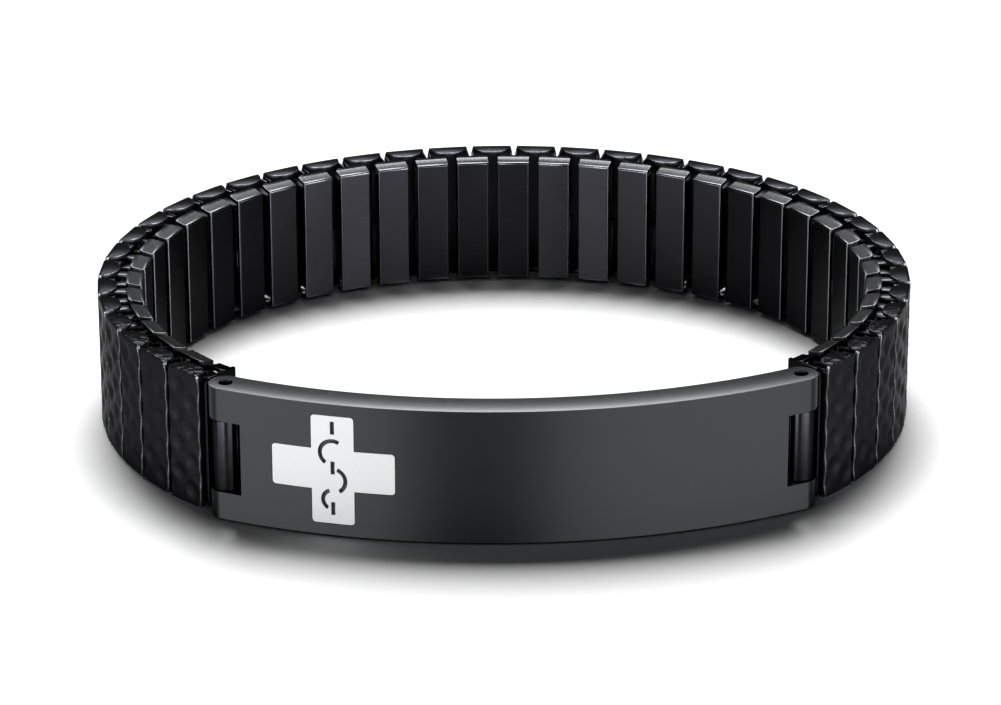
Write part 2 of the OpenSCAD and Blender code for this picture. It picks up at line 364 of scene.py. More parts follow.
@dataclass(frozen=True)
class BandPlan:
    """The loop seen from above, with the sizes that the CAD model gives it."""

    shell_pitch: float = 3.92
    shells_per_side: int = 18
    band_h: float = 12.0
    outer_depth: float = 1.7
    inner_depth: float = 1.45
    row_gap: float = 0.75
    sheet_t: float = 0.35
    outer_gap: float = 0.25
    inner_gap: float = 0.75
    inner_inset: float = 0.3
    tab_rise: float = 0.25
    back_radius: float = 37.0
    back_arc_len: float = 22.0
    pin_spacing: float = 47.4
    plate_radius: float = 54.5
    plate_t: float = 2.8
    hinge_gap: float = 0.74
    fork_gap: float = 0.1
    wall_gap: float = 0.25

    @property
    def outer_face(self) -> float:
        """Distance of the outer shells' faces from the band's middle line."""
        return (self.outer_depth + self.row_gap + self.inner_depth) / 2

    @property
    def outer_w(self) -> float:
        """Width of an outer shell along the band."""
        return self.shell_pitch * (1 + (self.outer_face - self.sheet_t) / self.back_radius) - self.outer_gap

    @property
    def inner_w(self) -> float:
        """Width of an inner shell along the band."""
        return self.shell_pitch * (1 - self.outer_face / self.side_radius) - self.inner_gap

    @property
    def inner_h(self) -> float:
        """Height of an inner shell."""
        return self.band_h - 2 * self.inner_inset

    @property
    def band_len(self) -> float:
        """Length of the band from the middle of the back to the middle of an end link."""
        return (self.shells_per_side + 0.5) * self.shell_pitch

    @property
    def back_turn(self) -> float:
        """Turn of the band where its flatter back ends, in radians."""
        return self.back_arc_len / self.back_radius

    @property
    def fork_tip(self) -> float:
        """Distance of the forks' tips from the middle of the end link, along the band."""
        return (self.outer_w - self.shell_pitch) / 2 + self.hinge_gap

    @property
    def hinge_along(self) -> float:
        """Distance of a hinge pin from the middle of its end link, along the band."""
        return self.fork_tip + self.plate_t / 2

    @property
    def link_reach(self) -> float:
        """Distance of an end link's end wall from the middle of the link."""
        return self.fork_tip - self.wall_gap

    @property
    def hinge_out(self) -> float:
        """Distance of a hinge pin out from the band's middle line."""
        return self.inner_depth - self.outer_face + self.fork_gap + self.plate_t / 2

    def pin_x(self, side_radius: float) -> float:
        """Distance of a hinge pin from the middle plane, for a radius of the loop's sides."""
        end = self.back_turn + (self.band_len - self.back_arc_len) / side_radius
        return ((self.back_radius - side_radius) * math.sin(self.back_turn)
                + (side_radius + self.hinge_out) * math.sin(end) + self.hinge_along * math.cos(end))

    @property
    def side_radius(self) -> float:
        """The radius of the sides that brings the pins to the plate's ends."""
        low = (self.band_len - self.back_arc_len) / (math.pi - self.back_turn)
        high = 3 * low
        for _ in range(40):
            middle = (low + high) / 2
            if self.pin_x(middle) < self.pin_spacing / 2:
                low = middle
            else:
                high = middle
        return (low + high) / 2

    @property
    def side_centre_y(self) -> float:
        """Place of the centre of the loop's sides, before the loop is centred."""
        return (self.back_radius - self.side_radius) * math.cos(self.back_turn) - self.back_radius

    @property
    def pin_y(self) -> float:
        """Place of the hinge pins, before the loop is centred."""
        end = self.back_turn + (self.band_len - self.back_arc_len) / self.side_radius
        return (self.side_centre_y + (self.side_radius + self.hinge_out) * math.cos(end)
                - self.hinge_along * math.sin(end))

    @property
    def pin_angle(self) -> float:
        """Half the angle that the plate spans between its pins, in radians."""
        return math.asin(self.pin_spacing / 2 / (self.plate_radius - self.plate_t / 2))

    @property
    def plate_centre_y(self) -> float:
        """Place of the centre that the plate is bent round, before the loop is centred."""
        return self.pin_y + (self.plate_radius - self.plate_t / 2) * math.cos(self.pin_angle)

    @property
    def shift_y(self) -> float:
        """Moves the loop so that the plate's face and the back are as far from the origin."""
        return -(self.outer_face + self.plate_centre_y - self.plate_radius) / 2

    def on_band(self, s: float, out: float = 0.0, up: float = 0.0, turn: float = 0.0) -> Matrix:
        """Gives the frame of a shell: X runs along the band, Y points out and Z up.

        Args:
            s: Distance along the band from the middle of the back, in millimetres.
            out: Distance out from the band's middle line.
            up: Height above the floor.
            turn: Further turn about Z in radians.

        Returns:
            The frame, in metres.
        """
        length, side = abs(s), -1 if s < 0 else 1
        if length < self.back_arc_len:
            angle = length / self.back_radius
            x, y = self.back_radius * math.sin(angle), self.back_radius * (math.cos(angle) - 1)
        else:
            radius = self.side_radius
            angle = self.back_turn + (length - self.back_arc_len) / radius
            x = (self.back_radius - radius) * math.sin(self.back_turn) + radius * math.sin(angle)
            y = self.side_centre_y + radius * math.cos(angle)
        return (Matrix.Translation(mm(side * x, y + self.shift_y, 0)) @ Matrix.Rotation(-side * angle, 4, "Z")
                @ Matrix.Translation(mm(0, out, up)) @ Matrix.Rotation(turn, 4, "Z"))


@dataclass(frozen=True)
class BlackSteel:
    """Stainless steel with a thin black vapour-deposited coat, which stays metallic to the eye.

    The coat is hard and thin, so it shows the surface under it: mirror, brushed or hammered. It wears
    lighter on the rims that a sleeve catches on, and marked flat tops are painted lighter, a painted highlight.
    """

    name: str
    hex_colour: str = "#1F2022"
    roughness: float = 0.35
    roughness_swing: float = 0.06
    cloud_mm: float = 6.0
    swing: float = 0.12
    grit_mm: float = 0.15
    grit_height_mm: float = 0.002
    top_roughness: float = 0.35
    edge_tint: float = 1.0
    worn_and_highlight_hex: str = "#77787C"

    def pattern(self, tree: bpy.types.NodeTree) -> tuple[bpy.types.NodeSocket, bpy.types.NodeSocket]:
        """Draws the cloudy variation of the coat and its fine grit.

        Args:
            tree: The material's node tree.

        Returns:
            The cloud's and the grit's values, both about 0.5 on average.
        """
        place = add_node(tree, "ShaderNodeTexCoord")
        cloud = add_node(tree, "ShaderNodeTexNoise", inputs={
            "Vector": place.outputs["Object"], "Scale": per_mm(self.cloud_mm), "Detail": 3.0})
        grit = add_node(tree, "ShaderNodeTexNoise", inputs={
            "Vector": place.outputs["Object"], "Scale": per_mm(self.grit_mm), "Detail": 2.0})
        return cloud.outputs["Fac"], grit.outputs["Fac"]

    def shape(self, tree: bpy.types.NodeTree, normal: bpy.types.NodeSocket,
              top: bpy.types.NodeSocket) -> bpy.types.NodeSocket:
        """Gives the surface its larger relief, which plain steel hasn't.

        Args:
            tree: The material's node tree.
            normal: The normal with the fine relief.
            top: A value that is 1 on faces that look up or down, and 0 on upright ones.

        Returns:
            The final normal.
        """
        return normal

    def make(self) -> bpy.types.Material:
        """Builds the material.

        Returns:
            The material, with its coat's colour, gloss, coat thinned on rims, painted highlights on marked tops, and
            relief.
        """
        material, tree, shader = start_material(self.name)
        cloud, grit = self.pattern(tree)
        surface = add_node(tree, "ShaderNodeNewGeometry")
        lie = add_node(tree, "ShaderNodeSeparateXYZ", inputs={0: surface.outputs["Normal"]})
        up = add_node(tree, "ShaderNodeMath", {"operation": "ABSOLUTE"}, {0: lie.outputs["Z"]})
        top = add_node(tree, "ShaderNodeMapRange", {"interpolation_type": "SMOOTHSTEP"}, {
            "Value": up.outputs[0], "From Min": 0.1, "From Max": 0.5})
        dark, light = ((*[shade * share for shade in linear(self.hex_colour)[:3]], 1)
                       for share in (1 - self.swing, 1 + self.swing))
        tint = add_node(tree, "ShaderNodeMix", {"data_type": "RGBA"}, {0: cloud, 6: dark, 7: light})
        # Marked faces go towards the lighter coat colour: rims where the coat wears thin, and flat tops where it is a
        # painted highlight.
        rubbed_and_lit = add_node(tree, "ShaderNodeAttribute", {"attribute_name": WEAR_AND_PAINTED_LIGHT})
        patchy = add_node(tree, "ShaderNodeMath", {"operation": "MULTIPLY"}, {0: rubbed_and_lit.outputs["Fac"], 1: grit})
        coat = add_node(tree, "ShaderNodeMix", {"data_type": "RGBA"}, {
            0: patchy.outputs[0], 6: tint.outputs[2], 7: linear(self.worn_and_highlight_hex)})
        gloss = add_node(tree, "ShaderNodeMapRange", inputs={
            "Value": grit, "From Min": 0.3, "From Max": 0.7,
            "To Min": self.roughness - self.roughness_swing, "To Max": self.roughness + self.roughness_swing})
        shine = add_node(tree, "ShaderNodeMix", {"data_type": "FLOAT"}, {
            0: top.outputs[0], 2: gloss.outputs[0], 3: self.top_roughness})
        relief = add_node(tree, "ShaderNodeBump", inputs={
            "Height": grit, "Strength": 1.0, "Distance": self.grit_height_mm * MM})
        tree.links.new(coat.outputs[2], shader.inputs["Base Color"])
        tree.links.new(shine.outputs[0], shader.inputs["Roughness"])
        tree.links.new(self.shape(tree, relief.outputs[0], top.outputs[0]), shader.inputs["Normal"])
        shader.inputs["Metallic"].default_value = 1.0
        shader.inputs["Specular Tint"].default_value = (*[self.edge_tint] * 3, 1)
        return material


@dataclass(frozen=True)
class HammeredBlackSteel(BlackSteel):
    """The same coat over hammered sheet: the tabs are crowned, and those by the plate are battered."""

    crown_mm: float = 0.05
    tab_middle: tuple[float, float] = (-0.75, 1.9)
    lump_mm: float = 0.7
    lump_height_mm: float = 0.24
    battered_from_y: tuple[float, float] = (-4.0, -14.0)

    def shape(self, tree: bpy.types.NodeTree, normal: bpy.types.NodeSocket,
              top: bpy.types.NodeSocket) -> bpy.types.NodeSocket:
        """Crowns each tab on its own map, and adds lumps to the ones near the plate."""
        middle, reach = self.tab_middle
        flat = add_node(tree, "ShaderNodeUVMap", {"uv_map": BRUSHING})
        centred = add_node(tree, "ShaderNodeMapping", inputs={
            "Vector": flat.outputs[0], "Location": (-middle / reach * 1.6, 0, 0),
            "Scale": (per_mm(reach / 1.6), per_mm(reach), 0)})
        ball = add_node(tree, "ShaderNodeTexGradient", {"gradient_type": "SPHERICAL"}, {0: centred.outputs[0]})
        dome = add_node(tree, "ShaderNodeMapRange", {"interpolation_type": "SMOOTHERSTEP"}, {
            "Value": ball.outputs["Fac"], "From Max": 1.1})
        domed = add_node(tree, "ShaderNodeMath", {"operation": "MULTIPLY"}, {0: dome.outputs[0], 1: top})
        crown = add_node(tree, "ShaderNodeBump", inputs={
            "Height": domed.outputs[0], "Strength": 1.0, "Distance": self.crown_mm * MM, "Normal": normal})
        place = add_node(tree, "ShaderNodeTexCoord")
        axes = add_node(tree, "ShaderNodeSeparateXYZ", inputs={0: place.outputs["Object"]})
        far, near = self.battered_from_y
        front = add_node(tree, "ShaderNodeMapRange", inputs={
            "Value": axes.outputs["Y"], "From Min": far * MM, "From Max": near * MM})
        battered = add_node(tree, "ShaderNodeMath", {"operation": "MULTIPLY"}, {0: front.outputs[0], 1: top})
        lumps = add_node(tree, "ShaderNodeTexNoise", inputs={
            "Vector": place.outputs["Object"], "Scale": per_mm(self.lump_mm), "Detail": 2.0})
        high = add_node(tree, "ShaderNodeMath", {"operation": "MULTIPLY"}, {
            0: lumps.outputs["Fac"], 1: battered.outputs[0]})
        rough = add_node(tree, "ShaderNodeBump", inputs={
            "Height": high.outputs[0], "Strength": 1.0, "Distance": self.lump_height_mm * MM,
            "Normal": crown.outputs[0]})
        return rough.outputs[0]


@dataclass(frozen=True)
class BrushedBlackSteel(BlackSteel):
    """The same coat over brushed steel: fine lines that spread each reflection across them.

    The lines follow the piece's own map. They are about 0.02 mm wide, which is too fine to show,
    so they are drawn coarser.
    """

    line_mm: float = 0.12
    line_length_mm: float = 6.0
    anisotropy: float = 0.89
    crown_mm: float = 0.0
    crown_span: tuple[float, float] = (51.7, 54.5)

    def pattern(self, tree: bpy.types.NodeTree) -> tuple[bpy.types.NodeSocket, bpy.types.NodeSocket]:
        """Draws long brush lines, in place of the grit and over half of the cloud."""
        cloud, _ = super().pattern(tree)
        place = add_node(tree, "ShaderNodeUVMap", {"uv_map": BRUSHING})
        stretch = add_node(tree, "ShaderNodeMapping", inputs={
            "Vector": place.outputs[0], "Scale": (per_mm(self.line_length_mm), per_mm(self.line_mm), 1.0)})
        lines = add_node(tree, "ShaderNodeTexNoise", inputs={
            "Vector": stretch.outputs[0], "Scale": 1.0, "Detail": 3.0})
        streaks = add_node(tree, "ShaderNodeMapRange", inputs={
            "Value": lines.outputs["Fac"], "From Min": 0.35, "From Max": 0.65})
        both = add_node(tree, "ShaderNodeMix", {"data_type": "FLOAT"}, {0: 0.5, 2: cloud, 3: streaks.outputs[0]})
        return both.outputs[0], lines.outputs["Fac"]

    def shape(self, tree: bpy.types.NodeTree, normal: bpy.types.NodeSocket,
              top: bpy.types.NodeSocket) -> bpy.types.NodeSocket:
        """Lets the top fall away towards its front edge, along the second axis of its map."""
        if not self.crown_mm:
            return normal
        start, end = self.crown_span
        flat = add_node(tree, "ShaderNodeUVMap", {"uv_map": BRUSHING})
        axes = add_node(tree, "ShaderNodeSeparateXYZ", inputs={0: flat.outputs[0]})
        share = add_node(tree, "ShaderNodeMapRange", inputs={
            "Value": axes.outputs["Y"], "From Min": start * MM, "From Max": end * MM})
        fall = add_node(tree, "ShaderNodeMath", {"operation": "POWER"}, {0: share.outputs[0], 1: 2.0})
        kept = add_node(tree, "ShaderNodeMath", {"operation": "MULTIPLY"}, {0: fall.outputs[0], 1: top})
        crown = add_node(tree, "ShaderNodeBump", {"invert": True}, {
            "Height": kept.outputs[0], "Strength": 1.0, "Distance": self.crown_mm * MM, "Normal": normal})
        return crown.outputs[0]

    def make(self) -> bpy.types.Material:
        """Builds the material, with its sheen turned to lie across the lines."""
        material = super().make()
        tree = material.node_tree
        shader = tree.nodes["Principled BSDF"]
        lie = add_node(tree, "ShaderNodeTangent", {"direction_type": "UV_MAP", "uv_map": BRUSHING})
        tree.links.new(lie.outputs[0], shader.inputs["Tangent"])
        shader.inputs["Anisotropic"].default_value = self.anisotropy
        shader.inputs["Anisotropic Rotation"].default_value = 0.25
        return material


@dataclass(frozen=True)
class BareSteel:
    """Uncoated stainless steel of the inlay, bead blasted, so it is bright and even from any side."""

    name: str = "Bead-blasted bare stainless steel"
    hex_colour: str = "#A8A8A9"
    roughness: float = 0.55
    bead_mm: float = 0.12

    def make(self) -> bpy.types.Material:
        """Builds the material."""
        material, tree, shader = start_material(self.name)
        place = add_node(tree, "ShaderNodeTexCoord")
        beads = add_node(tree, "ShaderNodeTexVoronoi", inputs={
            "Vector": place.outputs["Object"], "Scale": per_mm(self.bead_mm)})
        red, green, blue, _ = linear(self.hex_colour)
        tint = add_node(tree, "ShaderNodeMix", {"data_type": "RGBA"}, {
            0: beads.outputs["Distance"], 6: (red, green, blue, 1), 7: (red * 0.92, green * 0.92, blue * 0.92, 1)})
        relief = add_node(tree, "ShaderNodeBump", inputs={
            "Height": beads.outputs["Distance"], "Strength": 1.0, "Distance": 0.002 * MM})
        tree.links.new(tint.outputs[2], shader.inputs["Base Color"])
        tree.links.new(relief.outputs[0], shader.inputs["Normal"])
        shader.inputs["Metallic"].default_value = 1.0
        shader.inputs["Roughness"].default_value = self.roughness
        return material


class TabShape(Enum):
    """How the tab at each end of a sleeve is cut."""

    THUMBNAIL = "thumbnail"
    SQUARE = "square"


@dataclass
class Sleeve:
    """One shell of the band: a face of sheet steel with a tab bent back at its top and bottom.

    In its own frame the face lies on y = 0 and looks along +Y, and z runs from 0 to its height.
    """

    width: float
    height: float
    depth: float
    tab: TabShape
    sheet: float = 0.35
    face_round: float = 0.16
    rim_round: float = 0.05
    corner: float = 0.35
    tab_rise: float = 0.0
    # Share of the lighter coat colour on the flat faces of the tabs, a painted highlight.
    tab_painted_light: float = 0.0
    corner_cut: float = 0.0
    corner_h: float = 0.65
    tab_steps: int = 9
    corner_steps: int = 4
    cell: float = 0.24
    flange: float = 0.0
    flange_t: float = 0.2
    flange_end: float = 0.45
    dent_d: float = 1.7
    dent_pitch: float = 2.62
    dent_rows: int = 4
    dent_columns: tuple[tuple[float, float, float], ...] = (
        (-0.27, -0.25, 0.17), (0.16, 0.25, 0.17), (-0.5, 0.25, 0.1), (0.5, -0.25, 0.1))

    def tab_outline(self) -> list[Point]:
        """Gives the tab's plan as steps.

        Returns:
            For each step its depth behind the face, its half width and its rise, in millimetres.
        """
        half = self.width / 2 - self.corner_cut
        if self.tab is TabShape.THUMBNAIL:
            start, end = math.asin(self.sheet / half), math.asin(self.depth / half)
            turns = [start + (end - start) * i / self.tab_steps for i in range(1, self.tab_steps + 1)]
            return [(half * math.sin(a), half * math.cos(a), 0.0) for a in turns]
        bends = [math.pi / 2 * i / self.corner_steps for i in range(self.corner_steps + 1)]
        depths = [self.depth - self.corner * (1 - math.sin(a)) for a in bends]
        return [(depth, half - self.corner * (1 - math.cos(a)),
                 self.tab_rise * (depth - self.sheet) / (self.depth - self.sheet)) for depth, a in zip(depths, bends)]

    def build(self, name: str) -> bpy.types.Object:
        """Models the sleeve from a slab: its tabs, its side returns, its dents, then its edges.

        Args:
            name: The object's name.

        Returns:
            The finished sleeve.
        """
        half = self.width / 2
        piece = start_cube(name, (-half, -self.sheet, 0), (half, 0, self.height))
        edit(piece, Part.FACES)
        if self.corner_cut:
            self.cut_corners(piece)
        self.cut(piece, "z", [self.sheet, self.height - self.sheet])
        self.bend_tabs(piece)
        if self.flange:
            self.return_sides(piece)
        if self.tab is TabShape.THUMBNAIL:
            self.hammer(piece)
        outline = self.face_outline(piece)
        pick(piece, Part.EDGES, outline)
        bpy.ops.mesh.bevel(offset=self.face_round * MM, segments=3, affect="EDGES")
        bpy.ops.object.mode_set(mode="OBJECT")
        round_edges(piece, self.rim_round, 2, 50)
        smooth(piece)
        if self.tab is TabShape.SQUARE:
            flatten_faces(piece)
        lay_brushing(piece, self.brush_lines)
        mark_wear_and_painted_light(piece, self.rubbed_and_lit)
        return piece

    def rubbed_and_lit(self, face: bpy.types.MeshPolygon) -> float:
        """Wears the rims of the sleeve's face and of its tabs, and gives the tabs' flat faces a painted highlight."""
        upward = abs(face.normal.z)
        end = min(face.center.z, self.height * MM - face.center.z)
        inside = self.width / 2 - 0.2 - (self.corner_cut if end < self.corner_h * MM else 0)
        if end > 1.2 * self.sheet * MM and abs(face.center.x) < inside * MM:
            return 0.0
        # The flat faces of the tabs get a painted highlight.
        if upward > SQUARE_ON:
            return self.tab_painted_light
        return float(upward > 0.25 or (0.3 < face.normal.y < SQUARE_ON and face.center.y > -self.sheet * MM))

    @staticmethod
    def brush_lines(place: Vector, normal: Vector) -> tuple[float, float]:
        """Runs the lines along the band on the face, and outwards on the tabs."""
        if abs(normal.z) > 0.7:
            return place.y, place.x
        return (place.x if abs(normal.y) > 0.7 else place.y), place.z

    def cut_corners(self, piece: bpy.types.Object) -> None:
        """Narrows the slab's two ends to the width of the tabs."""
        self.cut(piece, "z", [self.corner_h, self.height - self.corner_h])
        pick(piece, Part.VERTS, lambda v: abs(v.co.z - self.height / 2 * MM) > self.height / 2.01 * MM)
        bpy.ops.transform.resize(value=(1 - 2 * self.corner_cut / self.width, 1, 1), center_override=(0, 0, 0))

    def face_outline(self, piece: bpy.types.Object) -> Callable[[bmesh.types.BMEdge], bool]:
        """Makes the test for the edges round the face, which are where it meets another face squarely."""
        def meets_squarely(edge: bmesh.types.BMEdge) -> bool:
            """Says whether just one of an edge's two faces looks along +Y."""
            fronts = [face.normal.y > 0.7 for face in edge.link_faces]
            return len(fronts) == 2 and fronts[0] != fronts[1] and edge.verts[0].co.y > -self.sheet * 0.8 * MM
        return meets_squarely

    def cut(self, piece: bpy.types.Object, axis: str, places: Sequence[float],
            test: Callable[[bmesh.types.BMFace], bool] = lambda face: True) -> None:
        """Cuts the open mesh across an axis.

        Args:
            piece: The object in edit mode.
            axis: x or z.
            places: Where to cut, in millimetres.
            test: Says which faces are cut.
        """
        normal = Vector((axis == "x", 0, axis == "z"))
        for place in places:
            pick(piece, Part.FACES, test)
            bpy.ops.mesh.bisect(plane_co=normal * place * MM, plane_no=normal)

    def bend_tabs(self, piece: bpy.types.Object) -> None:
        """Extrudes both tabs back from the ends of the slab, step by step."""
        middle = self.height / 2
        pick(piece, Part.FACES, lambda f: f.normal.y < -0.9
             and abs(f.calc_center_median().z - middle * MM) > (middle - self.sheet) * MM)
        behind, half, rise = self.sheet, self.width / 2 - self.corner_cut, 0.0
        for step_depth, step_half, step_rise in self.tab_outline():
            bpy.ops.mesh.extrude_region_move(
                TRANSFORM_OT_translate={"value": mm(0, behind - step_depth, 0)})
            bpy.ops.transform.resize(value=(step_half / half, 1, (middle + step_rise) / (middle + rise)),
                                     center_override=mm(0, 0, middle))
            behind, half, rise = step_depth, step_half, step_rise

    def return_sides(self, piece: bpy.types.Object) -> None:
        """Extrudes the narrow returns behind the face's upright edges."""
        inside, middle = self.width / 2 - self.flange_t, self.height / 2

        def behind(face: bmesh.types.BMFace) -> bool:
            """Says whether a face is the back of the sleeve's face."""
            return face.normal.y < -0.9 and face.calc_center_median().y > -self.sheet * 1.1 * MM

        self.cut(piece, "x", (-inside, inside), behind)
        self.cut(piece, "z", (self.flange_end, self.height - self.flange_end), behind)
        pick(piece, Part.FACES, lambda f: behind(f) and abs(f.calc_center_median().x) > inside * MM
             and abs(f.calc_center_median().z - middle * MM) < (middle - self.flange_end) * MM)
        bpy.ops.mesh.extrude_region_move(TRANSFORM_OT_translate={"value": mm(0, -self.flange, 0)})

    def hammer(self, piece: bpy.types.Object) -> None:
        """Presses the staggered dents into the face, with a falloff that leaves each a shallow bowl."""
        columns, rows = round(self.width / self.cell), round(self.height / self.cell)
        for axis, places in (("x", [self.width * (i / columns - 0.5) for i in range(1, columns)]),
                             ("z", [self.height * i / rows for i in range(1, rows)])):
            self.cut(piece, axis, places, lambda face: face.normal.y > 0.9)
        for across, stagger, depth in self.dent_columns:
            for row in range(self.dent_rows):
                z = self.height / 2 + (row - (self.dent_rows - 1) / 2 + stagger) * self.dent_pitch
                centre = mm(across * self.width, 0, z)
                mesh = bmesh.from_edit_mesh(piece.data)
                front = [v for v in mesh.verts if v.co.y > -self.sheet * 0.8 * MM]
                nearest = min(front, key=lambda v: (v.co.xz - centre.xz).length)
                pick(piece, Part.VERTS, lambda v, chosen=nearest.index: v.index == chosen)
                bpy.ops.transform.translate(
                    value=mm(0, -depth, 0), use_proportional_edit=True, use_proportional_connected=True,
                    proportional_edit_falloff="INVERSE_SQUARE", proportional_size=self.dent_d / 2 * MM)


@dataclass
class OuterRow:
    """The hammered shells that show on the outside of the band."""

    plan: BandPlan
    finish: BlackSteel = HammeredBlackSteel(
        "Hammered black-plated steel", "#1F1F22", 0.4, 0.06, 4.0, grit_mm=0.12, grit_height_mm=0.004,
        top_roughness=0.34, edge_tint=0.48, worn_and_highlight_hex="#5C5D61")

    def build(self) -> None:
        """Models one hammered shell and sets a copy at each place along the band."""
        plan = self.plan
        template = Sleeve(plan.outer_w, plan.band_h, plan.outer_depth, TabShape.THUMBNAIL, rim_round=0.1,
                          corner_cut=0.17, flange=1.1).build("hammered_shell")
        material = self.finish.make()
        for k in range(-plan.shells_per_side, plan.shells_per_side + 1):
            number = k + plan.shells_per_side + 1
            shell = set_at(template, f"hammered_shell_{number:02d}",
                           plan.on_band(k * plan.shell_pitch, out=plan.outer_face))
            fit_out(shell, material, "hammered_steel", f"outer_shell_{number:02d}")
        bpy.data.objects.remove(template)


@dataclass
class InnerRow:
    """The plain brushed shells that lie against the wrist."""

    plan: BandPlan
    finish: BrushedBlackSteel = BrushedBlackSteel(
        "Brushed black-plated steel", "#1A1A1D", 0.47, 0.04, swing=0.4, top_roughness=0.2, worn_and_highlight_hex="#66676B")

    def build(self) -> None:
        """Models one brushed shell and sets its copies along each side of the band."""
        plan = self.plan
        # The flat faces of its tabs are painted lighter, a painted highlight.
        template = Sleeve(plan.inner_w, plan.inner_h, plan.inner_depth, TabShape.SQUARE,
                          tab_rise=plan.tab_rise, tab_painted_light=0.35).build("brushed_shell")
        material = self.finish.make()
        for side, node in ((-1, "inner_shells_left"), (1, "inner_shells_right")):
            row = [set_at(template, f"brushed_shell_{side * k}",
                          plan.on_band(side * (k - 0.5) * plan.shell_pitch, -plan.outer_face, plan.inner_inset,
                                       math.pi))
                   for k in range(1, plan.shells_per_side + 1)]
            fit_out(join(node.replace("inner", "brushed"), row), material, "satin_steel", node)
        bpy.data.objects.remove(template)


@dataclass
class Staples:
    """The U-shaped staples that tie the two rows together and let them slide."""

    plan: BandPlan
    width: float = 0.95
    thickness: float = 0.3
    play: float = 0.12
    bridge_play: float = 0.35
    side_gap: float = 0.13
    leg_gap: float = 1.4
    edge_round: float = 0.1
    finish: BlackSteel = BlackSteel("Drawn black-plated spring steel", "#3A3B3D", 0.4, 0.05, 3.0, grit_mm=0.1,
                                    top_roughness=0.4)

    def build(self) -> None:
        """Models one staple and sets both rows of copies."""
        plan = self.plan
        reach = plan.outer_face - plan.sheet_t - self.play
        top = plan.band_h - plan.inner_inset - plan.sheet_t - self.bridge_play
        leg_bottom = (plan.band_h + self.leg_gap) / 2
        offset = (plan.shell_pitch - plan.inner_w + self.width) / 2 + self.side_gap
        half = self.width / 2
        template = start_cube("staple", (-half, -reach, top - self.thickness), (half, reach, top))
        edit(template, Part.FACES)
        for side in (-1, 1):
            bpy.ops.mesh.select_all(action="SELECT")
            bpy.ops.mesh.bisect(plane_co=mm(0, side * (reach - self.thickness), 0), plane_no=(0, 1, 0))
        pick(template, Part.FACES, lambda f: f.normal.z < -0.9
             and abs(f.calc_center_median().y) > (reach - self.thickness) * MM)
        bpy.ops.mesh.extrude_region_move(
            TRANSFORM_OT_translate={"value": mm(0, 0, leg_bottom - top + self.thickness)})
        bpy.ops.object.mode_set(mode="OBJECT")
        round_edges(template, self.edge_round, 1)
        smooth(template, 50)
        material = self.finish.make()
        flip = Matrix.Translation(mm(0, 0, plan.band_h)) @ Matrix.Rotation(math.pi, 4, "Y")
        for node, turn in (("staples_upper", Matrix.Identity(4)), ("staples_lower", flip)):
            row = [set_at(template, f"{node}_{k}_{side}",
                          plan.on_band(k * plan.shell_pitch + side * offset) @ turn)
                   for k in range(-plan.shells_per_side, plan.shells_per_side + 1) for side in (-1, 1)]
            fit_out(join(node.replace("staples", "staple_row"), row), material, "staple_steel", node)
        bpy.data.objects.remove(template)


